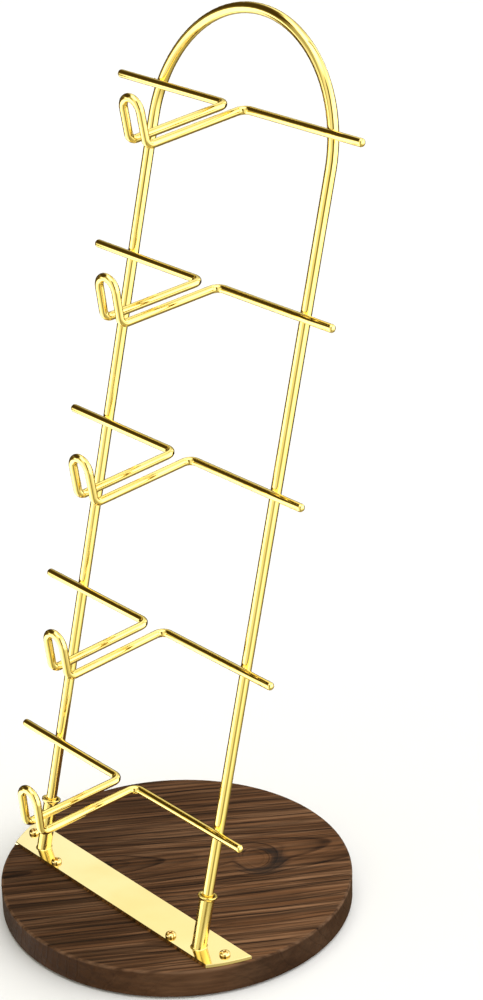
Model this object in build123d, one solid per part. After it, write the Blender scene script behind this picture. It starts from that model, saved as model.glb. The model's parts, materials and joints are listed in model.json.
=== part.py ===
from build123d import *
import os
from math import cos, radians, sin

# Eyeglasses display stand: a leaning wire arch with five bent-wire spectacle holders,
# plugged into two tilted sockets on a brass strip that is screwed to a round wooden base.
#
# Frame: +Z up, the front of the stand faces -Y, the strip runs along X.
# Origin: on the counter, under the centre of the round base.
# All sizes are in millimetres.

# --- round wooden base and the thin non-slip pad under it ---
base_diameter = 160.0
base_thickness = 13.0
base_top_round = 1.0
base_bottom_round = 0.6
pad_diameter = 150.0
pad_thickness = 1.0
pad_edge_break = 0.2

# --- strip across the front of the base ---
strip_width = 19.0
strip_thickness = 1.8
strip_centre_y = -31.5
strip_edge_break = 0.3

# --- wire arch ---
arch_rod_diameter = 4.8
leg_spacing = 110.0
lean_angle = 13.85            # the arch leans back from the vertical
leg_line_y = -33.9            # where the leg axes meet the top of the strip
leg_straight_length = 340.8   # from the top of the strip, along the lean, to the round top
rod_end_chamfer = 0.4

# --- tilted sockets ---
socket_diameter = 6.6
socket_lip_diameter = 8.6
socket_height = 24.5          # along the lean
socket_lip_height = 1.0
socket_flare_height = 1.4
socket_floor = 3.0            # the rod ends stand on this floor
rod_clearance = 0.05          # radial, rod in socket

# --- pan-head screws that hold the strip ---
screw_head_diameter = 4.8
screw_head_height = 1.7
screw_shank_diameter = 2.4
screw_length = 10.5
screw_hole_diameter = 2.8
screw_recess_length = 2.8
screw_recess_width = 0.65
screw_recess_depth = 0.9
turn_per_screw = 7.0          # degrees per millimetre of X, so that no two recesses line up
screw_inboard = 14.4          # from a socket towards the middle of the strip
screw_outboard = 12.5         # from a socket towards the end of the strip
screw_stagger = 3.9           # inboard screws stand nearer the front, outboard ones nearer the back

# --- bent-wire holders ---
wire_diameter = 3.6
bar_length = 151.0            # the whole cross bar, end to end
arm_spacing = 10.6            # centre to centre, also the width of the nose loop
arm_length = 52.2
loop_height = 19.7            # from the arms to the wire's centre at the top of the loop
bar_bend_radius = 4.2
loop_bend_radius = 3.6
wire_end_round = 1.5
braze_sink = 0.1              # how far the bar is melted into the legs

# One row for each holder, from the top down:
# height along the lean, droop of the arms in degrees, forward nod of the loop in degrees,
# and how far the holder sits to the side.
holders = [
    (355.5, 5.1, 10.0, -1.0),
    (281.0, 3.2, 7.7, 0.3),
    (206.0, 4.4, 8.6, 0.3),
    (128.5, 3.6, 7.3, 0.4),
    (54.5, 0.9, 5.5, -1.2),
]

# --- sizes that follow from the ones above ---
base_radius = base_diameter / 2
base_underside = pad_thickness
base_top = base_underside + base_thickness
strip_top = base_top + strip_thickness
strip_end_radius = base_radius - base_top_round
rod_radius = arch_rod_diameter / 2
wire_radius = wire_diameter / 2
lean = radians(lean_angle)

across = Vector(1, 0, 0)
up_lean = Vector(0, sin(lean), cos(lean))       # along the legs
out_front = Vector(0, -cos(lean), sin(lean))    # square to the arch, towards the front
lean_foot = Vector(0, leg_line_y, strip_top)


def on_arch(x, along, forward=0.0):
    """A point given across the arch, along the lean and square to the arch."""
    return lean_foot + across * x + up_lean * along + out_front * forward


def screw_points():
    """The four screw centres on top of the strip."""
    half = leg_spacing / 2
    inboard = half - screw_inboard
    outboard = half + screw_outboard
    points = []
    for side in (-1, 1):
        points.append(Vector(side * inboard, leg_line_y - screw_stagger, strip_top))
        points.append(Vector(side * outboard, leg_line_y + screw_stagger, strip_top))
    return points


def standing_cylinder(radius, height, foot):
    """A vertical cylinder that stands on the given point."""
    return Pos(foot) * Cylinder(radius, height, align=(Align.CENTER, Align.CENTER, Align.MIN))


def make_wood_base():
    disc = standing_cylinder(base_radius, base_thickness, Vector(0, 0, base_underside))
    rims = disc.edges().sort_by(Axis.Z)
    disc = fillet(rims[-1], base_top_round)
    disc = fillet(disc.edges().sort_by(Axis.Z)[0], base_bottom_round)
    for point in screw_points():
        foot = point - Vector(0, 0, screw_length)
        disc -= standing_cylinder(screw_shank_diameter / 2, screw_length, foot)
    return disc


def make_under_pad():
    pad = standing_cylinder(pad_diameter / 2, pad_thickness, Vector(0, 0, 0))
    return chamfer(pad.edges().sort_by(Axis.Z)[0], pad_edge_break)


def make_strip():
    """A flat strip whose ends are trimmed to the round of the base."""
    centre = Vector(0, strip_centre_y, base_top + strip_thickness / 2)
    strip = Pos(centre) * Box(base_diameter, strip_width, strip_thickness)
    strip &= standing_cylinder(strip_end_radius, strip_thickness, Vector(0, 0, base_top))
    strip = chamfer(strip.faces().sort_by(Axis.Z)[-1].edges(), strip_edge_break)
    for point in screw_points():
        foot = point - Vector(0, 0, strip_thickness)
        strip -= standing_cylinder(screw_hole_diameter / 2, strip_thickness, foot)
    return strip


def make_socket(side):
    """A tilted tube with a flared lip, closed at the foot and cut flush with the strip."""
    tube_radius = socket_diameter / 2
    lip_radius = socket_lip_diameter / 2
    flare_start = socket_height - socket_lip_height - socket_flare_height
    lip_start = socket_height - socket_lip_height
    bore_radius = rod_radius + rod_clearance
    lip_round = 0.35
    foot_reach = 3.0          # the outline starts below the strip and is then cut flush

    # Half section in a plane through the axis: first coordinate is the radius.
    outline = Polyline(
        (0, -foot_reach),
        (tube_radius, -foot_reach),
        (tube_radius, flare_start),
        (lip_radius, lip_start),
        (lip_radius, socket_height),
        (bore_radius, socket_height),
        (bore_radius, socket_floor),
        (0, socket_floor),
        close=True,
    )
    half_section = make_face(outline)
    lip_corners = half_section.vertices().sort_by(Axis.X)[-2:]
    half_section = fillet(lip_corners, lip_round)
    upright = revolve(Plane.XZ * half_section, Axis.Z)

    foot = on_arch(side * leg_spacing / 2, 0)
    tilted = Plane(origin=foot, x_dir=across, z_dir=up_lean) * upright
    keep_height = 2 * socket_height
    keep = Pos(foot) * Box(40, 40, keep_height, align=(Align.CENTER, Align.CENTER, Align.MIN))
    return tilted & keep


def make_screw(point):
    """Pan-head screw with a cross recess, standing in its hole."""
    head_radius = screw_head_diameter / 2
    dome_round = 1.1
    head = Cylinder(head_radius, screw_head_height, align=(Align.CENTER, Align.CENTER, Align.MIN))
    head = fillet(head.edges().sort_by(Axis.Z)[-1], dome_round)
    shank = Cylinder(
        screw_shank_diameter / 2, screw_length, align=(Align.CENTER, Align.CENTER, Align.MAX)
    )
    recess_size = (screw_recess_length, screw_recess_width, 2 * screw_recess_depth)
    screw = head + shank
    for turn in (0, 90):
        screw -= Pos(0, 0, screw_head_height) * Rot(0, 0, turn) * Box(*recess_size)
    return Pos(point) * Rot(0, 0, turn_per_screw * point.X) * screw


def make_screws():
    return Compound(children=[make_screw(point).solid() for point in screw_points()])


def swept_tube(path, radius):
    """A round rod along a smooth path."""
    start = Plane(origin=path @ 0, z_dir=path % 0)
    return sweep(start * Circle(radius), path=path)


def make_arch_rod():
    """One rod: left leg, half-round top, right leg."""
    half = leg_spacing / 2
    left_foot = on_arch(-half, socket_floor)
    left_top = on_arch(-half, leg_straight_length)
    crown = on_arch(0, leg_straight_length + half)
    right_top = on_arch(half, leg_straight_length)
    right_foot = on_arch(half, socket_floor)
    path = Wire([
        Line(left_foot, left_top),
        ThreePointArc(left_top, crown, right_top),
        Line(right_top, right_foot),
    ])
    rod = swept_tube(path, rod_radius).solid()
    end_faces = rod.faces().filter_by(GeomType.PLANE)
    return chamfer(end_faces.edges(), rod_end_chamfer)


def make_holder(height, droop, nod, shift):
    """One wire: half a cross bar, an arm, the nose loop, the other arm, the other half bar."""
    half_bar = bar_length / 2
    half_gap = arm_spacing / 2
    arm_way = Vector(0, -cos(radians(droop)), -sin(radians(droop)))
    loop_way = Vector(0, -sin(radians(nod)), cos(radians(nod)))
    middle = on_arch(shift, height, rod_radius + wire_radius - braze_sink)
    nose = middle + arm_way * arm_length
    crown = nose + loop_way * loop_height
    spring_line = nose + loop_way * (loop_height - half_gap)

    def half_wire(side):
        """From the end of the bar to the foot of the half-round at the top of the loop."""
        return FilletPolyline(
            middle + across * (side * half_bar),
            middle + across * (side * half_gap),
            nose + across * (side * half_gap),
            spring_line + across * (side * half_gap),
            radius=[bar_bend_radius, loop_bend_radius],
        )

    top = ThreePointArc(spring_line - across * half_gap, crown, spring_line + across * half_gap)
    path = Wire(half_wire(-1).edges() + [top] + half_wire(1).edges())
    wire = swept_tube(path, wire_radius).solid()
    end_faces = wire.faces().filter_by(GeomType.PLANE)
    return fillet(end_faces.edges(), wire_end_round)


def main():
    os.makedirs("parts", exist_ok=True)
    nodes = {
        "under_pad": make_under_pad(),
        "wood_base": make_wood_base(),
        "base_strip": make_strip(),
        "socket_left": make_socket(-1),
        "socket_right": make_socket(1),
        "strip_screws": make_screws(),
        "arch_rod": make_arch_rod(),
    }
    for number, settings in enumerate(holders, start=1):
        nodes[f"holder_{number}"] = make_holder(*settings)
    for name, shape in nodes.items():
        export_step(shape, f"parts/{name}.step")
        print(f"{name}: volume {shape.volume:.1f} mm3")


main()
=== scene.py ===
import json
from math import acos, cos, pi, radians, sin, sqrt, tan

import bmesh
import bpy
from mathutils import Matrix, Quaternion, Vector, noise


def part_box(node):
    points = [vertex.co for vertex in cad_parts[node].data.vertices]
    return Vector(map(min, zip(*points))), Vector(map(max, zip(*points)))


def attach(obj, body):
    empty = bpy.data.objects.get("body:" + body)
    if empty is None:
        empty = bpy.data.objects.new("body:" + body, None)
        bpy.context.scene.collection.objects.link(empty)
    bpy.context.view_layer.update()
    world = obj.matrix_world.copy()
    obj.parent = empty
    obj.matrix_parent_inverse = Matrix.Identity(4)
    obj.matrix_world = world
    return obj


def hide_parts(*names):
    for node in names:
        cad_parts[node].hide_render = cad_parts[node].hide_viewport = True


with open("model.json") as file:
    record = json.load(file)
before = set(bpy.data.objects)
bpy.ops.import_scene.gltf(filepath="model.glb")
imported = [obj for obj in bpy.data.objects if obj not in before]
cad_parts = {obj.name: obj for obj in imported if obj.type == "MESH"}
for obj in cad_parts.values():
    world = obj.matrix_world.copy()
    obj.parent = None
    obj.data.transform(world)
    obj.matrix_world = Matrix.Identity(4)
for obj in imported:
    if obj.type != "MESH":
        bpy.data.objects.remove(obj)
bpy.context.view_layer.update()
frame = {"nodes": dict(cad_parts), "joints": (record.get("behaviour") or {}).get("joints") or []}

MM = 0.001

# --- the stand's own directions and driving sizes, in metres ---
LEAN_WAY = Vector(frame["joints"][0]["axis"]).normalized()     # along the legs
ACROSS = Vector((1, 0, 0))
FRONT_WAY = ACROSS.cross(LEAN_WAY) * -1                        # square to the arch, to the front
if FRONT_WAY.y > 0:
    FRONT_WAY = -FRONT_WAY

STRIP_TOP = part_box("base_strip")[1].z
BASE_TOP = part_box("wood_base")[1].z
BASE_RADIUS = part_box("wood_base")[1].x
LEG_LINE_Y = -33.9 * MM                # where the legs' centre lines meet the strip's top
ROD_RADIUS = 2.4 * MM
WIRE_RADIUS = 1.8 * MM
LEG_SPACING = 110 * MM
LEG_STRAIGHT = 340.8 * MM              # along the lean, from the strip's top to the half-round
SOCKET_FLOOR = 3.0 * MM
ROD_END_CHAMFER = 0.4 * MM

BAR_LENGTH = 151 * MM
ARM_SPACING = 10.6 * MM
ARM_LENGTH = 52.2 * MM
LOOP_HEIGHT = 19.7 * MM
BAR_BEND = 4.2 * MM
LOOP_BEND = 3.6 * MM
WIRE_END_ROUND = 1.5 * MM
BRAZE_SINK = 0.1 * MM                  # how far a cross bar sits into the legs

SOCKET_RADIUS = 3.3 * MM
SOCKET_LIP_RADIUS = 4.3 * MM
SOCKET_HEIGHT = 24.5 * MM
SOCKET_LIP_HEIGHT = 1.0 * MM
SOCKET_FLARE_HEIGHT = 1.4 * MM
SOCKET_LIP_ROUND = 0.32 * SOCKET_LIP_HEIGHT
SOCKET_BORE_RADIUS = 2.45 * MM
BORE_MOUTH = 0.42 * MM
BORE_MOUTH_DEPTH = 2.2 * BORE_MOUTH
FOOT_FILLET = 0.5 * MM
FOOT_UNEVEN = 0.22                     # share by which the foot's fillet swells and thins
FOOT_LUMPS = 1.7                       # how often it does so round the tube
FOOT_OWN_LUMPS = 90                    # puts each foot at its own place in the noise

# From the top down: height along the lean (mm), droop of the arms and nod of the loop
# (degrees), and how far the holder sits to the side (mm).
HOLDERS = [
    (355.5, 5.1, 10.0, -1.0),
    (281.0, 3.2, 7.7, 0.3),
    (206.0, 4.4, 8.6, 0.3),
    (128.5, 3.6, 7.3, 0.4),
    (54.5, 0.9, 5.5, -1.2),
]

GRAIN_ANGLE = radians(57)              # the grain runs this far round from +x
PITH_OFFSET = 8.6 * MM                 # of the pith line from the middle, across the grain
PITH_RUN = 101 * MM                    # it leaves the top this far before the middle
PITH_SLOPE = 0.12                      # and sinks by this share of the way along
RING_WIDTH = 4.0 * MM

# A knot buried under the top. Centres and half sizes are given along and across the grain.
# Rings swirl round the first centre, fully up to the inner distance from it and not at all
# beyond the outer one. The dark crescent is the stain oval without the heart oval.
KNOT_SWIRL = ((34.0 * MM, 3.0 * MM), (1.0, 1.0))
KNOT_SWIRL_SHARE = 0.85
KNOT_SWIRL_INNER = 7.0 * MM
KNOT_SWIRL_OUTER = 19.0 * MM
KNOT_SWIRL_OPENS = (25.0 * MM, 38.0 * MM)      # along the grain: no swirl before, all of it after
KNOT_STAIN = ((39.0 * MM, 0.6 * MM), (12.6 * MM, 12.0 * MM))
KNOT_HEART = ((35.5 * MM, 2.8 * MM), (9.0 * MM, 8.4 * MM))

TUBE_SIDES = 40
WIRE_END_ROWS = 7
SOCKET_SIDES = 56
SOCKET_FLARE_ROWS = 6
SOCKET_LIP_ROWS = 4
SOCKET_FOOT_ROWS = 5
BRAZE_SIDES = 32
BRAZE_ROWS = 6
BRAZE_FILL = 0.55 * MM                 # the width of gap that the braze bridges
BRAZE_UNEVEN = 0.25                    # share by which that width varies round the joint
BRAZE_OWN_ALONG, BRAZE_OWN_ACROSS = 300, 40     # put each joint at its own place in the noise
BRAZE_FLOW = 0.45 * MM                 # how far it creeps beyond that along each rod
BRAZE_REACH_START = 0.2 * MM
BRAZE_REACH_STEP = 0.02 * MM
BRAZE_SEARCH_LIMIT = 0.999             # share of a rod's radius, while the reach is sought
BRAZE_SKIN_LIMIT = 0.98                # and for the braze itself
BEND_STEP = radians(4)
STRAIGHT_STEP = 12 * MM
SHORTEST_RUN = 0.001 * MM


def on_arch(x, along, forward=0.0):
    """A point given across the arch, along the lean and square to the arch."""
    foot = Vector((0, LEG_LINE_Y, STRIP_TOP))
    return foot + ACROSS * x + LEAN_WAY * along + FRONT_WAY * forward


# ---------------------------------------------------------------- mesh helpers

def add_mesh(name, vertices, faces, material, smooth=True):
    """A new mesh object in the scene, with one material."""
    mesh = bpy.data.meshes.new(name)
    mesh.from_pydata([tuple(v) for v in vertices], [], faces)
    mesh.validate()
    for polygon in mesh.polygons:
        polygon.use_smooth = smooth
    mesh.materials.append(material)
    piece = bpy.data.objects.new(name, mesh)
    bpy.context.scene.collection.objects.link(piece)
    return piece


def rounded_route(corners, radii):
    """Points along straight runs joined by tangent arcs; radii has one entry per inner corner."""
    points = [corners[0].copy()]
    for before, corner, after, radius in zip(corners, corners[1:], corners[2:], radii):
        way_in = (corner - before).normalized()
        way_out = (after - corner).normalized()
        turn = acos(max(-1.0, min(1.0, way_in.dot(way_out))))
        set_back = radius * tan(turn / 2)
        start = corner - way_in * set_back
        axis = way_in.cross(way_out).normalized()
        to_centre = axis.cross(way_in) * radius
        centre = start + to_centre
        add_straight(points, start)
        steps = max(2, int(turn / BEND_STEP))
        for step in range(1, steps + 1):
            spoke = Quaternion(axis, turn * step / steps) @ (-to_centre)
            points.append(centre + spoke)
    add_straight(points, corners[-1])
    return points


def add_straight(points, end):
    """Extend the route to end in even steps."""
    start = points[-1]
    length = (end - start).length
    if length < SHORTEST_RUN:
        return
    steps = max(1, round(length / STRAIGHT_STEP))
    for step in range(1, steps + 1):
        points.append(start.lerp(end, step / steps))


def tube(name, points, radius, end_profile, material):
    """A smooth tube along points. end_profile lists (inset along the axis, radius) from the
    full section to the flat of the end."""
    count = len(points)
    tangents = []
    for i in range(count):
        ahead = points[min(i + 1, count - 1)]
        behind = points[max(i - 1, 0)]
        tangents.append((ahead - behind).normalized())
    side = tangents[0].orthogonal().normalized()
    rings = []
    for i in range(count):
        if i:
            side = tangents[i - 1].rotation_difference(tangents[i]) @ side
        rings.append([points[i], tangents[i], side.copy(), radius])

    def end_rings(ring, outward):
        centre, tangent, ring_side, _ = ring
        rows = []
        for inset, row_radius in end_profile:
            rows.append([centre - tangent * (outward * inset), tangent, ring_side, row_radius])
        return rows

    start_rows = end_rings(rings[0], -1)
    finish_rows = end_rings(rings[-1], 1)
    rings = list(reversed(start_rows)) + rings[1:-1] + finish_rows

    vertices, faces = [], []
    for centre, tangent, ring_side, ring_radius in rings:
        other = tangent.cross(ring_side)
        for k in range(TUBE_SIDES):
            angle = 2 * pi * k / TUBE_SIDES
            vertices.append(centre + (ring_side * cos(angle) + other * sin(angle)) * ring_radius)
    for row in range(len(rings) - 1):
        for k in range(TUBE_SIDES):
            nxt = (k + 1) % TUBE_SIDES
            a, b = row * TUBE_SIDES, (row + 1) * TUBE_SIDES
            faces.append((a + k, a + nxt, b + nxt, b + k))
    last = (len(rings) - 1) * TUBE_SIDES
    faces.append(tuple(reversed(range(TUBE_SIDES))))
    faces.append(tuple(range(last, last + TUBE_SIDES)))
    return add_mesh(name, vertices, faces, material)


def round_end(radius, corner):
    """End profile of a wire whose end edge is rounded over."""
    profile = []
    for step in range(WIRE_END_ROWS + 1):
        angle = pi / 2 * step / WIRE_END_ROWS
        profile.append((corner * (1 - sin(angle)), radius - corner * (1 - cos(angle))))
    return profile


def chamfer_end(radius, size):
    """End profile of a rod whose end edge is chamfered."""
    return [(size, radius), (0.0, radius - size)]


# ---------------------------------------------- sizes and colours of the finishes
# Sizes are in metres, noise scales in lumps per metre, and colours are linear.

SMUDGE_SCALE = 350
SMUDGE_ROUGHNESS = 0.04                # added to the polish where a smudge lies
RIPPLE_SCALE = 220
# Painted shade, brown, at the foot of the screw heads where they meet the strip:
LOW_SHADE_SOLID = 0.2 * MM
LOW_SHADE_GONE = 0.9 * MM
LOW_SHADE_SHARE = 0.85
LOW_SHADE_BROWN = (0.16, 0.085, 0.020)

# Noises drawn out along the grain: length, width, detail and roughness.
WANDER = (0.110, 0.034, 2.0, 0.55)
WAVER = (0.036, 0.009, 2.0, 0.55)
FIBRES = (0.110, 0.0015, 3.0, 0.6)
BANDS = (0.140, 0.0034, 2.0, 0.55)
PORES = (0.024, 0.0009, 3.0, 0.6)
BLOTCHES = (0.060, 0.022, 3.0, 0.55)
WANDER_SWING = 0.012                   # how far the rings wander from side to side
WAVER_SWING = 0.0020
RING_UNEVEN_SCALE = 130.0
RING_UNEVEN = 1.6                      # in ring widths
FINE_RINGS_PER_RING = 2.0
FINE_RING_SHIFT = 0.35
RINGS_IN_HEART = 0.12                  # share of the rings' darkness left in the knot's heart
RINGS_ON_SIDE = 0.16                   # and on the side face
STREAKS_ON_SIDE = 0.30
BAND_SHARE = 0.55                      # the rest of the base colour's drift is blotches
FIBRE_TONES = (0.54, 1.46)
PORE_SHARE = 0.55
KNOT_STAIN_SHARE = 0.92

BAND_COLOURS = [
    (0.34, (0.056, 0.0225, 0.0080)),
    (0.50, (0.104, 0.0480, 0.0215)),
    (0.64, (0.168, 0.0860, 0.0430)),
]
LATE_WOOD = (0.0120, 0.0048, 0.0024)
PORE_BROWN = (0.008, 0.004, 0.0025)
KNOT_STAIN_COLOUR = (0.014, 0.011, 0.010)
# The colour of the painted highlight along the board's top edge.
RIM_HIGHLIGHT_COLOUR = (0.19, 0.105, 0.058)
# How dark a ring is from its early wood (0) to its late wood (1), and the finer lines between.
RING_PROFILE = [(0.00, 0.00), (0.52, 0.04), (0.76, 0.45), (0.87, 0.92), (0.95, 0.85), (1.00, 0.00)]
FINE_RING_PROFILE = [(0.00, 0.00), (0.55, 0.05), (0.85, 0.42), (1.00, 0.00)]

# Painted shade on the board: darker towards the front left, on the side face, and most on the side
# face's right end.
BOARD_SHADE_WAY = (0.78, 0.62, 0)             # the painted shade lightens this way over the board
BOARD_SHADE_FROM, BOARD_SHADE_TO = -0.075, 0.070
BOARD_SHADE_DARK, BOARD_SHADE_PALE = 0.66, 1.12
SIDE_FACE_SHADE = 0.70
END_GRAIN_SHADE = 0.47
# Where the painted highlight on the top edge lies:
RIM_HIGHLIGHT_OUTER, RIM_HIGHLIGHT_INNER = 0.0004, 0.0014     # in from the rim
RIM_HIGHLIGHT_TOP, RIM_HIGHLIGHT_BOTTOM = 0.0006, 0.0016      # down from the top
WOOD_ROUGHNESS = (0.50, 0.66)
WOOD_GLOSS = 0.05
WOOD_RELIEF = 0.22 * MM
RING_RELIEF, PORE_RELIEF, FIBRE_RELIEF = 0.8, 0.7, 0.7     # shares of it

FOAM_CELLS = 900
FOAM_SPECKLE = 300
FOAM_COLOURS = ((0.012, 0.012, 0.013), (0.035, 0.034, 0.033))
FOAM_ROUGHNESS = 0.85
FOAM_RELIEF = 0.1 * MM

FLOOR_MOTTLING = 3
FLOOR_COLOURS = ((0.80, 0.80, 0.80), (0.82, 0.82, 0.82))
FLOOR_ROUGHNESS = 0.9
FLOOR_GLOSS = 0.1


# ------------------------------------------------------------ material helpers

class Nodes:
    """Short names for building one node tree."""

    def __init__(self, tree):
        self.tree = tree

    def node(self, kind, **settings):
        made = self.tree.nodes.new(kind)
        for key, value in settings.items():
            setattr(made, key, value)
        return made

    def link(self, source, target):
        self.tree.links.new(source, target)

    def plug(self, target, value):
        if isinstance(value, bpy.types.NodeSocket):
            self.link(value, target)
        else:
            target.default_value = value

    def position(self):
        return self.node("ShaderNodeTexCoord").outputs["Object"]

    def mapped(self, vector, scale=(1, 1, 1), rotation=(0, 0, 0), location=(0, 0, 0)):
        made = self.node("ShaderNodeMapping")
        self.plug(made.inputs["Vector"], vector)
        made.inputs["Scale"].default_value = scale
        made.inputs["Rotation"].default_value = rotation
        made.inputs["Location"].default_value = location
        return made.outputs["Vector"]

    def math(self, operation, a, b=0.0, c=0.0):
        made = self.node("ShaderNodeMath", operation=operation)
        self.plug(made.inputs[0], a)
        self.plug(made.inputs[1], b)
        if len(made.inputs) > 2:
            self.plug(made.inputs[2], c)
        return made.outputs[0]

    def noise(self, vector, scale, detail=2.0, roughness=0.5):
        made = self.node("ShaderNodeTexNoise")
        self.plug(made.inputs["Vector"], vector)
        made.inputs["Scale"].default_value = scale
        made.inputs["Detail"].default_value = detail
        made.inputs["Roughness"].default_value = roughness
        made.inputs["Distortion"].default_value = 0.0
        return made.outputs["Fac"]

    def remap(self, value, low, high, to_low=0.0, to_high=1.0):
        """Ease from to_low to to_high as value goes from low to high."""
        made = self.node("ShaderNodeMapRange", interpolation_type="SMOOTHSTEP")
        self.plug(made.inputs["Value"], value)
        made.inputs["From Min"].default_value = low
        made.inputs["From Max"].default_value = high
        made.inputs["To Min"].default_value = to_low
        made.inputs["To Max"].default_value = to_high
        return made.outputs["Result"]

    def ramp(self, value, stops):
        made = self.node("ShaderNodeValToRGB")
        self.plug(made.inputs["Fac"], value)
        elements = made.color_ramp.elements
        while len(elements) < len(stops):
            elements.new(0.5)
        for element, (place, colour) in zip(elements, stops):
            element.position = place
            element.color = (*colour, 1.0)
        return made.outputs["Color"]

    def mix(self, factor, a, b, blend="MIX"):
        made = self.node("ShaderNodeMix", data_type="RGBA", blend_type=blend)
        self.plug(made.inputs["Factor"], factor)
        for socket, value in ((made.inputs["A"], a), (made.inputs["B"], b)):
            if isinstance(value, bpy.types.NodeSocket):
                self.link(value, socket)
            else:
                socket.default_value = (*value, 1.0)
        return made.outputs["Result"]

    def split(self, vector):
        """The x, y and z of a vector."""
        made = self.node("ShaderNodeSeparateXYZ")
        self.link(vector, made.inputs[0])
        return made.outputs

    def length(self, vector):
        made = self.node("ShaderNodeVectorMath", operation="LENGTH")
        self.link(vector, made.inputs[0])
        return made.outputs["Value"]

    def dot(self, vector, way):
        made = self.node("ShaderNodeVectorMath", operation="DOT_PRODUCT")
        self.link(vector, made.inputs[0])
        made.inputs[1].default_value = way
        return made.outputs["Value"]


class MaterialNodes(Nodes):
    """The node tree of a new material, round its own shader."""

    def __init__(self, name):
        self.material = bpy.data.materials.new(name)
        self.material.use_nodes = True
        super().__init__(self.material.node_tree)
        self.shader = self.tree.nodes["Principled BSDF"]

    def bump(self, height, distance):
        made = self.node("ShaderNodeBump")
        made.inputs["Strength"].default_value = 1.0
        made.inputs["Distance"].default_value = distance
        self.plug(made.inputs["Height"], height)
        self.link(made.outputs["Normal"], self.shader.inputs["Normal"])

    def set(self, name, value):
        self.plug(self.shader.inputs[name], value)

    def set_colour(self, value):
        if isinstance(value, bpy.types.NodeSocket):
            self.link(value, self.shader.inputs["Base Color"])
        else:
            self.shader.inputs["Base Color"].default_value = (*value, 1.0)


def gold(name, colour, deep_colour, roughness, ripple, patches=60, shade_above=None):
    """Mirror-polished gold: faint waves in the polish, soft smudges, a little colour drift.

    Ripple is the depth of the waves. Patches is how fine the colour's drift is, per metre. Given
    a height for painted shade, the metal is painted brown as shade just above it and clean 0.9 mm
    above it.
    """
    m = MaterialNodes(name)
    place = m.position()
    drift = m.remap(m.noise(place, patches, 3.0, 0.55), 0.35, 0.7)
    shade = m.mix(drift, colour, deep_colour)
    # Painted shade: brown just above the given height, where the screw heads meet the strip.
    if shade_above is not None:
        height = m.split(place)["Z"]
        low, high = shade_above + LOW_SHADE_SOLID, shade_above + LOW_SHADE_GONE
        shade = m.mix(m.remap(height, low, high, LOW_SHADE_SHARE, 0.0), shade, LOW_SHADE_BROWN)
    m.set_colour(shade)
    m.set("Metallic", 1.0)
    smears = m.noise(place, SMUDGE_SCALE, 4.0, 0.6)
    m.set("Roughness", m.remap(smears, 0.3, 0.75, roughness, roughness + SMUDGE_ROUGHNESS))
    m.bump(m.noise(place, RIPPLE_SCALE, 2.0, 0.5), ripple)
    return m.material


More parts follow.
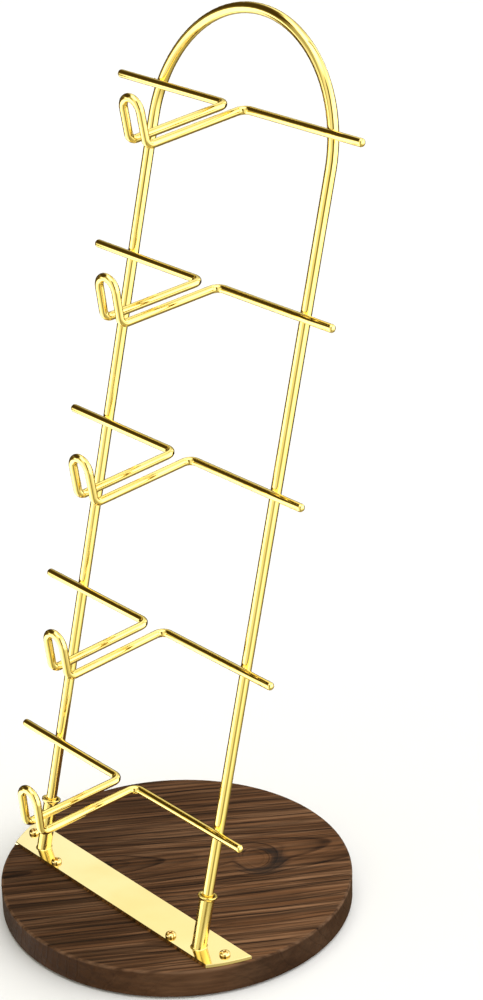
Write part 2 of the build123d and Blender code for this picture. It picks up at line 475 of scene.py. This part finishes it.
def walnut_board(name):
    """Stained, brushed softwood: nested annual rings cut by the top, long fibres along them."""
    m = MaterialNodes(name)
    place = m.position()
    grain = m.mapped(place, rotation=(0, 0, -GRAIN_ANGLE))
    along, across, height = m.split(grain)

    def stretched(length, width, detail, roughness):
        """Noise drawn out along the grain."""
        ratio = length / width
        return m.noise(m.mapped(grain, scale=(1, ratio, ratio)), 1 / length, detail, roughness)

    def swing(value, size):
        """A value round one half, turned into a length round zero."""
        return m.math("MULTIPLY_ADD", value, size, -size / 2)

    def squared(value):
        return m.math("MULTIPLY", value, value)

    def greys(value, profile):
        return m.ramp(value, [(stop, (grey, grey, grey)) for stop, grey in profile])

    def from_centre(oval):
        """Distance from an oval's centre, in its half sizes."""
        centre, half_size = oval
        return m.length(m.mapped(
            grain,
            scale=(1 / half_size[0], 1 / half_size[1], 0),
            location=(-centre[0] / half_size[0], -centre[1] / half_size[1], 0),
        ))

    # The rings lie round a pith line that sinks slowly along the grain.
    wander = swing(stretched(*WANDER), WANDER_SWING)
    waver = swing(stretched(*WAVER), WAVER_SWING)
    off_pith = m.math("ADD", across, -PITH_OFFSET)
    off_pith = m.math("ADD", off_pith, m.math("ADD", wander, waver))
    depth = m.math("MULTIPLY_ADD", m.math("ADD", along, PITH_RUN), PITH_SLOPE, BASE_TOP)
    depth = m.math("SUBTRACT", depth, height)
    ring_radius = m.math("SQRT", m.math("ADD", squared(off_pith), squared(depth)))

    # Over the knot, on its far side along the grain, they turn round the knot instead.
    swirl = from_centre(KNOT_SWIRL)
    swirl_share = m.remap(swirl, KNOT_SWIRL_INNER, KNOT_SWIRL_OUTER, KNOT_SWIRL_SHARE, 0.0)
    swirl_share = m.math("MULTIPLY", swirl_share, m.remap(along, *KNOT_SWIRL_OPENS))
    pull = m.math("MULTIPLY", swirl_share, m.math("SUBTRACT", swirl, ring_radius))
    ring_radius = m.math("ADD", ring_radius, pull)

    uneven = m.node("ShaderNodeTexNoise", noise_dimensions="1D")
    m.link(m.math("MULTIPLY", ring_radius, RING_UNEVEN_SCALE), uneven.inputs["W"])
    uneven.inputs["Scale"].default_value = 1.0
    uneven.inputs["Detail"].default_value = 2.0
    count = m.math("MULTIPLY", ring_radius, 1 / RING_WIDTH)
    phase = m.math("MULTIPLY_ADD", uneven.outputs["Fac"], RING_UNEVEN, count)
    ring_mask = greys(m.math("FRACT", phase), RING_PROFILE)
    fine_phase = m.math("MULTIPLY_ADD", phase, FINE_RINGS_PER_RING, FINE_RING_SHIFT)
    fine_mask = greys(m.math("FRACT", fine_phase), FINE_RING_PROFILE)
    rings = m.math("MAXIMUM", ring_mask, fine_mask)
    heart = from_centre(KNOT_HEART)
    rings = m.math("MULTIPLY", rings, m.remap(heart, 0.45, 0.95, RINGS_IN_HEART, 1.0))

    # The side face shows far less of the rings and pores than the top, and calmer bands.
    normal = m.node("ShaderNodeNewGeometry").outputs["Normal"]
    upward = m.split(normal)["Z"]
    on_top = m.remap(upward, 0.2, 0.8, RINGS_ON_SIDE, 1.0)
    streaky = m.remap(upward, 0.2, 0.8, STREAKS_ON_SIDE, 1.0)

    fibres = stretched(*FIBRES)
    bands = stretched(*BANDS)
    calm_bands = m.math("MULTIPLY_ADD", m.math("SUBTRACT", bands, 0.5), streaky, 0.5)
    blotches = m.math("MULTIPLY", stretched(*BLOTCHES), 1 - BAND_SHARE)
    soft_wood = m.ramp(m.math("MULTIPLY_ADD", calm_bands, BAND_SHARE, blotches), BAND_COLOURS)
    broken = m.math("MULTIPLY", rings, m.remap(fibres, 0.30, 0.70, 1.0, 0.62))
    wood = m.mix(m.math("MULTIPLY", broken, on_top), soft_wood, LATE_WOOD)
    wood = m.mix(streaky, wood, m.remap(fibres, 0.34, 0.66, *FIBRE_TONES), blend="MULTIPLY")
    pores = m.math("MULTIPLY", m.remap(stretched(*PORES), 0.60, 0.72, 0.0, PORE_SHARE), on_top)
    wood = m.mix(pores, wood, PORE_BROWN)

    # A cool dark stain where the grain closes round the knot.
    knot_mask = m.remap(from_centre(KNOT_STAIN), 0.70, 1.15, KNOT_STAIN_SHARE, 0.0)
    knot_mask = m.math("MULTIPLY", knot_mask, m.remap(heart, 0.80, 1.12))
    knot_mask = m.math("MULTIPLY", knot_mask, m.remap(bands, 0.3, 0.6, 1.0, 0.75))
    wood = m.mix(knot_mask, wood, KNOT_STAIN_COLOUR)

    # Painted shade: darker towards the front left, on the side face, and most on the right end of
    # the side face, where the end grain is.
    board_shade = m.remap(m.dot(place, BOARD_SHADE_WAY), BOARD_SHADE_FROM, BOARD_SHADE_TO, BOARD_SHADE_DARK, BOARD_SHADE_PALE)
    board_shade = m.math("MULTIPLY", board_shade, m.remap(upward, 0.1, 0.6, SIDE_FACE_SHADE, 1.0))
    end_grain = m.dot(normal, (cos(GRAIN_ANGLE), sin(GRAIN_ANGLE), 0))
    board_shade = m.math("MULTIPLY", board_shade, m.remap(end_grain, 0.0, 0.35, 1.0, END_GRAIN_SHADE))
    wood = m.mix(1.0, wood, board_shade, blend="MULTIPLY")

    # A painted highlight pales the top edge.
    from_axis = m.length(m.mapped(place, scale=(1, 1, 0)))
    rim_highlight = m.remap(from_axis, BASE_RADIUS - RIM_HIGHLIGHT_INNER, BASE_RADIUS - RIM_HIGHLIGHT_OUTER)
    near_top = m.remap(height, BASE_TOP - RIM_HIGHLIGHT_BOTTOM, BASE_TOP - RIM_HIGHLIGHT_TOP)
    rim_highlight = m.math("MULTIPLY", rim_highlight, near_top)
    rim_highlight = m.math("MULTIPLY", rim_highlight, m.remap(bands, 0.35, 0.65, 0.05, 0.55))
    m.set_colour(m.mix(rim_highlight, wood, RIM_HIGHLIGHT_COLOUR))

    m.set("Roughness", m.remap(fibres, 0.3, 0.7, *WOOD_ROUGHNESS))
    m.set("Specular IOR Level", WOOD_GLOSS)
    ridges = m.math("MULTIPLY", rings, RING_RELIEF)
    relief = m.math("SUBTRACT", ridges, m.math("MULTIPLY", pores, PORE_RELIEF))
    relief = m.math("ADD", relief, m.math("MULTIPLY", fibres, FIBRE_RELIEF))
    m.bump(relief, WOOD_RELIEF)
    return m.material


def foam_pad(name):
    """Dark foam with fine cells."""
    m = MaterialNodes(name)
    place = m.position()
    cells = m.node("ShaderNodeTexVoronoi")
    m.link(place, cells.inputs["Vector"])
    cells.inputs["Scale"].default_value = FOAM_CELLS
    speckle = m.noise(place, FOAM_SPECKLE, 3.0, 0.6)
    m.set_colour(m.mix(speckle, *FOAM_COLOURS))
    m.set("Roughness", FOAM_ROUGHNESS)
    m.bump(cells.outputs["Distance"], FOAM_RELIEF)
    return m.material


def pale_floor(name):
    """A matt, near white floor."""
    m = MaterialNodes(name)
    mottling = m.noise(m.position(), FLOOR_MOTTLING)
    m.set_colour(m.mix(mottling, *FLOOR_COLOURS))
    m.set("Roughness", FLOOR_ROUGHNESS)
    m.set("Specular IOR Level", FLOOR_GLOSS)
    return m.material


# Name, colour, deeper colour, roughness and depth of the waves.
wire_gold = gold("wire_gold_polish", (0.93, 0.74, 0.25), (0.90, 0.70, 0.21), 0.04, 0.006 * MM)
socket_gold = gold("socket_gold_polish", (0.80, 0.63, 0.20), (0.75, 0.58, 0.17), 0.18, 0.010 * MM)
strip_gold = gold(
    "strip_gold_mirror", (0.94, 0.81, 0.45), (0.86, 0.70, 0.31), 0.05, 0.006 * MM, patches=16,
)
# The screws carry painted shade where their heads meet the strip.
screw_gold = gold(
    "screw_gold_polish", (0.92, 0.72, 0.30), (0.80, 0.56, 0.18), 0.12, 0.020 * MM,
    shade_above=STRIP_TOP,
)
braze_gold = gold("braze_gold", (1.0, 0.74, 0.26), (0.90, 0.62, 0.20), 0.16, 0.060 * MM)
walnut = walnut_board("walnut_brushed")
foam = foam_pad("foam_pad_cells")


# ------------------------------------------------------------------- the rack

def make_arch():
    """One rod: left leg, half-round top, right leg."""
    half = LEG_SPACING / 2
    top = LEG_STRAIGHT + half
    corners = [
        on_arch(-half, SOCKET_FLOOR),
        on_arch(-half, top),
        on_arch(half, top),
        on_arch(half, SOCKET_FLOOR),
    ]
    route = rounded_route(corners, [half, half])
    ends = chamfer_end(ROD_RADIUS, ROD_END_CHAMFER)
    return tube("arch_wire", route, ROD_RADIUS, ends, wire_gold)


def make_holder(number, height, droop, nod, shift):
    """One wire: half a cross bar, an arm, the nose loop, the other arm, the other half bar."""
    half_bar = BAR_LENGTH / 2
    half_gap = ARM_SPACING / 2
    arm_way = Vector((0, -cos(droop), -sin(droop)))
    loop_way = Vector((0, -sin(nod), cos(nod)))
    middle = on_arch(shift, height, ROD_RADIUS + WIRE_RADIUS - BRAZE_SINK)
    nose = middle + arm_way * ARM_LENGTH
    crown = nose + loop_way * LOOP_HEIGHT
    corners = [
        middle - ACROSS * half_bar,
        middle - ACROSS * half_gap,
        nose - ACROSS * half_gap,
        crown - ACROSS * half_gap,
        crown + ACROSS * half_gap,
        nose + ACROSS * half_gap,
        middle + ACROSS * half_gap,
        middle + ACROSS * half_bar,
    ]
    radii = [BAR_BEND, LOOP_BEND, half_gap, half_gap, LOOP_BEND, BAR_BEND]
    route = rounded_route(corners, radii)
    ends = round_end(WIRE_RADIUS, WIRE_END_ROUND)
    return tube(f"holder_{number}_wire", route, WIRE_RADIUS, ends, wire_gold)


def make_socket(name, x):
    """A tube on the strip, leaning with the legs: flared lip, eased mouth, brazed at its foot."""
    rise = SOCKET_HEIGHT - SOCKET_LIP_HEIGHT
    wall = [(SOCKET_RADIUS, rise * 0.5)]       # (radius, height along the lean)
    for step in range(SOCKET_FLARE_ROWS + 1):  # the flare under the lip
        turn = step / SOCKET_FLARE_ROWS * pi / 2
        reach = (SOCKET_LIP_RADIUS - SOCKET_RADIUS) * (1 - cos(turn))
        wall.append((SOCKET_RADIUS + reach, rise - SOCKET_FLARE_HEIGHT * (1 - sin(turn))))
    for step in range(SOCKET_LIP_ROWS + 1):    # the lip's rounded upper edge
        turn = step / SOCKET_LIP_ROWS * pi / 2
        wall.append((
            SOCKET_LIP_RADIUS - SOCKET_LIP_ROUND * (1 - cos(turn)),
            SOCKET_HEIGHT - SOCKET_LIP_ROUND * (1 - sin(turn)),
        ))
    wall.append((SOCKET_BORE_RADIUS + BORE_MOUTH, SOCKET_HEIGHT))
    wall.append((SOCKET_BORE_RADIUS, SOCKET_HEIGHT - BORE_MOUTH_DEPTH))
    wall.append((SOCKET_BORE_RADIUS, SOCKET_FLOOR))
    foot = []
    for step in range(SOCKET_FOOT_ROWS + 1):   # braze fillet, from the strip up the tube
        turn = step / SOCKET_FOOT_ROWS * pi / 2
        foot.append((SOCKET_RADIUS + FOOT_FILLET * (1 - sin(turn)), FOOT_FILLET * (1 - cos(turn))))

    def spoke(angle, radius, along):
        around = ACROSS * cos(angle) + FRONT_WAY * sin(angle)
        return on_arch(x, along) + around * radius

    def strip_level(angle, radius):
        """How far along the lean this side of the tube meets the strip."""
        return -FRONT_WAY.z * radius * sin(angle) / LEAN_WAY.z

    vertices, faces = [], []
    rows = foot + wall
    for row, (radius, along) in enumerate(rows):
        for k in range(SOCKET_SIDES):
            angle = 2 * pi * k / SOCKET_SIDES
            lift, uneven = 0.0, 1.0
            if row < len(foot):
                lift = strip_level(angle, radius)
                spot = Vector((cos(angle), sin(angle), x * FOOT_OWN_LUMPS)) * FOOT_LUMPS
                uneven += FOOT_UNEVEN * noise.noise(spot)
            out = SOCKET_RADIUS + (radius - SOCKET_RADIUS) * uneven
            vertices.append(spoke(angle, out, along + lift))
    for row in range(len(rows) - 1):
        for k in range(SOCKET_SIDES):
            nxt = (k + 1) % SOCKET_SIDES
            low, high = row * SOCKET_SIDES, (row + 1) * SOCKET_SIDES
            faces.append((low + k, low + nxt, high + nxt, high + k))
    last = (len(rows) - 1) * SOCKET_SIDES
    faces.append(tuple(range(last, last + SOCKET_SIDES)))
    faces.append(tuple(range(SOCKET_SIDES)))
    socket = add_mesh(name + "_tube", vertices, faces, socket_gold)
    for cap in socket.data.polygons[-2:]:      # the bore's floor and the foot are flat
        cap.use_smooth = False
    turn_outward(socket)
    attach(socket, "base")
    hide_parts(name)


def drop(radius, off, limit):
    """How far a rod's skin falls away from its crest, this far off the crest line.

    Beyond limit, a share of the radius, it falls no further.
    """
    off = min(abs(off), radius * limit)
    return radius - sqrt(radius ** 2 - off ** 2)


def drops(out, angle, limit):
    """The drops of the leg's and the bar's skins, this far out from where the two touch."""
    return drop(ROD_RADIUS, out * sin(angle), limit), drop(WIRE_RADIUS, out * cos(angle), limit)


def make_braze(name, x, along):
    """The small meniscus of braze where a cross bar crosses a leg."""
    contact = on_arch(x, along, ROD_RADIUS - BRAZE_SINK / 2)
    vertices, faces = [], []
    for k in range(BRAZE_SIDES):
        angle = 2 * pi * k / BRAZE_SIDES
        own = along * BRAZE_OWN_ALONG + x * BRAZE_OWN_ACROSS
        spot = Vector((cos(angle), sin(angle), own))
        fill = BRAZE_FILL * (1 + BRAZE_UNEVEN * noise.noise(spot))
        reach = BRAZE_REACH_START
        while sum(drops(reach, angle, BRAZE_SEARCH_LIMIT)) < fill:
            reach += BRAZE_REACH_STEP
        way = ACROSS * sin(angle) + LEAN_WAY * cos(angle)
        for step in range(BRAZE_ROWS + 1):
            t = step / BRAZE_ROWS * 2 - 1      # -1 on the leg, 1 on the bar
            out = reach + BRAZE_FLOW * t * t
            leg, bar = drops(out, angle, BRAZE_SKIN_LIMIT)
            height = -leg + (bar + leg) * (t + 1) / 2
            vertices.append(contact + way * out + FRONT_WAY * height)
    rows = BRAZE_ROWS + 1
    for k in range(BRAZE_SIDES):
        nxt = (k + 1) % BRAZE_SIDES
        for step in range(BRAZE_ROWS):
            a, b = k * rows + step, nxt * rows + step
            faces.append((a, b, b + 1, a + 1))
    faces.append(tuple(k * rows for k in range(BRAZE_SIDES)))
    faces.append(tuple(k * rows + BRAZE_ROWS for k in range(BRAZE_SIDES)))
    braze = add_mesh(name, vertices, faces, braze_gold)
    turn_outward(braze)
    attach(braze, "rack")


def turn_outward(piece):
    """Make every face look out of the closed piece."""
    mesh = bmesh.new()
    mesh.from_mesh(piece.data)
    bmesh.ops.recalc_face_normals(mesh, faces=mesh.faces)
    if mesh.calc_volume(signed=True) < 0:
        bmesh.ops.reverse_faces(mesh, faces=mesh.faces)
    mesh.to_mesh(piece.data)
    mesh.free()


arch = make_arch()
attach(arch, "rack")
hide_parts("arch_rod")

for number, (height, droop, nod, shift) in enumerate(HOLDERS, start=1):
    holder = make_holder(number, height * MM, radians(droop), radians(nod), shift * MM)
    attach(holder, "rack")
    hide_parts(f"holder_{number}")
    for side, sign in (("left", -1), ("right", 1)):
        make_braze(f"braze_{number}_{side}", sign * LEG_SPACING / 2, height * MM)

make_socket("socket_left", -LEG_SPACING / 2)
make_socket("socket_right", LEG_SPACING / 2)


# ---------------------------------------------------------- CAD nodes that stay

def finish_node(node, material):
    """Give a CAD node its material, keeping its slots."""
    for slot in frame["nodes"][node].material_slots:
        slot.material = material


finish_node("wood_base", walnut)
finish_node("under_pad", foam)
finish_node("base_strip", strip_gold)
finish_node("strip_screws", screw_gold)


# ------------------------------------------------------------------- the stage

CAMERA_SIDE = -39.1                    # where the camera stands, degrees round from +x
STUDIO_LEVEL = 0.55                    # brightness where there is no box and no gap
# Boxes and gaps: azimuth, half width, elevation, half height and edge softness (degrees), then
# the brightness a box adds or the share a gap takes away.
STUDIO_BOXES = [
    (-98, 42, -30, 44, 14, 1.9),     # left
    (-36, 22, 2, 60, 14, 0.55),      # front left
    (80, 60, 14, 34, 40, 2.1),       # right
    (182, 26, 48, 18, 26, 0.95),     # high at the back
    (0, 180, 90, 26, 30, 2.4),       # overhead
]
# Colour by brightness: the dim parts of the room are warm and the bright boxes white.
STUDIO_WHITE = 2.0                     # the brightness at 1 in the list
STUDIO_TINTS = [
    (0.00, (1.0, 0.60, 0.12)),
    (0.16, (1.0, 0.88, 0.46)),
    (0.42, (1.0, 0.98, 0.78)),
    (0.80, (1.0, 1.00, 1.00)),
]
STUDIO_GAPS = [
    (3, 13, 29, 31, 11, 0.80),       # the photographer's side
    (3, 9, -38, 26, 10, 0.45),       # and below it
    (180, 74, -13, 18, 10, 0.95),    # low at the back
    (-132, 40, 32, 31, 10, 0.88),    # back left
    (122, 6, 10, 80, 7, 0.80),       # narrow, splitting the right box
    (135, 42, -42, 18, 10, 0.50),    # low at the back right
]

FLOOR_HALF_SIZE = 6.0

# Solved from the photograph: the camera's place, and its turn from looking along +y.
CAMERA_PLACE = (0.7616, -0.6181, 0.6475)
CAMERA_TURN = radians(48.98)
CAMERA_DIP = radians(24.60)
CAMERA_ROLL = radians(-1.37)
CAMERA_LENS = 91.1                     # millimetres, on a sensor 36 mm long
CAMERA_SENSOR = 36.0
CAMERA_SEES = (0.05, 50.0)             # nearest and farthest


def make_floor():
    """A wide floor that the polished metal does not mirror."""
    size = FLOOR_HALF_SIZE
    corners = [(-size, -size, 0), (size, -size, 0), (size, size, 0), (-size, size, 0)]
    floor = add_mesh("floor", corners, [(0, 1, 2, 3)], pale_floor("floor_pale"), smooth=False)
    floor.visible_glossy = False


def make_world():
    """A soft white studio seen by direction: large pale boxes with darker gaps between them.

    Azimuth is counted from the camera's side of the stand, to the right as the camera sees it.
    """
    world = bpy.data.worlds.new("studio")
    bpy.context.scene.world = world
    world.use_nodes = True
    w = Nodes(world.node_tree)
    x, y, z = w.split(w.node("ShaderNodeTexCoord").outputs["Generated"])
    elevation = w.math("ARCSINE", z)

    def inside(value, half_width, softness):
        """One inside the half width and nothing outside, eased over the softness."""
        edge_in = radians(half_width - softness / 2)
        edge_out = radians(half_width + softness / 2)
        return w.remap(value, edge_in, edge_out, 1.0, 0.0)

    def patch(azimuth, half_azimuth, height, half_height, soft):
        """A soft-edged patch of sky, one inside it and nothing outside."""
        turn = radians(CAMERA_SIDE + azimuth)
        ahead = w.math("ADD", w.math("MULTIPLY", x, cos(turn)), w.math("MULTIPLY", y, sin(turn)))
        aside = w.math("MULTIPLY", y, cos(turn))
        aside = w.math("SUBTRACT", aside, w.math("MULTIPLY", x, sin(turn)))
        off = w.math("ABSOLUTE", w.math("ARCTAN2", aside, ahead))
        above = w.math("ABSOLUTE", w.math("SUBTRACT", elevation, radians(height)))
        return w.math("MULTIPLY", inside(off, half_azimuth, soft), inside(above, half_height, soft))

    level = STUDIO_LEVEL
    for *place, strength in STUDIO_BOXES:
        level = w.math("ADD", level, w.math("MULTIPLY", patch(*place), strength))
    for *place, cut in STUDIO_GAPS:
        kept = w.math("SUBTRACT", 1.0, w.math("MULTIPLY", patch(*place), cut))
        level = w.math("MULTIPLY", level, kept)
    background = w.tree.nodes["Background"]
    tint = w.ramp(w.math("DIVIDE", level, STUDIO_WHITE), STUDIO_TINTS)
    w.link(tint, background.inputs["Color"])
    w.link(level, background.inputs["Strength"])

    # The camera itself sees plain white.
    backdrop = w.node("ShaderNodeBackground")
    backdrop.inputs["Color"].default_value = (1, 1, 1, 1)
    chooser = w.node("ShaderNodeMixShader")
    w.link(w.node("ShaderNodeLightPath").outputs["Is Camera Ray"], chooser.inputs["Fac"])
    w.link(background.outputs["Background"], chooser.inputs[1])
    w.link(backdrop.outputs["Background"], chooser.inputs[2])
    w.link(chooser.outputs["Shader"], w.tree.nodes["World Output"].inputs["Surface"])


def make_camera():
    """The photographer's camera."""
    ahead = Vector((
        -sin(CAMERA_TURN) * cos(CAMERA_DIP),
        cos(CAMERA_TURN) * cos(CAMERA_DIP),
        -sin(CAMERA_DIP),
    ))
    level = Vector((cos(CAMERA_TURN), sin(CAMERA_TURN), 0))
    upward = level.cross(ahead)
    right = level * cos(CAMERA_ROLL) + upward * sin(CAMERA_ROLL)
    up = upward * cos(CAMERA_ROLL) - level * sin(CAMERA_ROLL)
    data = bpy.data.cameras.new("camera")
    data.sensor_width = CAMERA_SENSOR
    data.lens = CAMERA_LENS
    data.clip_start, data.clip_end = CAMERA_SEES
    camera = bpy.data.objects.new("camera", data)
    bpy.context.scene.collection.objects.link(camera)
    turn = Matrix((right, up, -ahead)).transposed().to_4x4()
    camera.matrix_world = Matrix.Translation(CAMERA_PLACE) @ turn
    bpy.context.scene.camera = camera


make_floor()
make_world()
make_camera()
bpy.context.scene.view_settings.view_transform = "Standard"
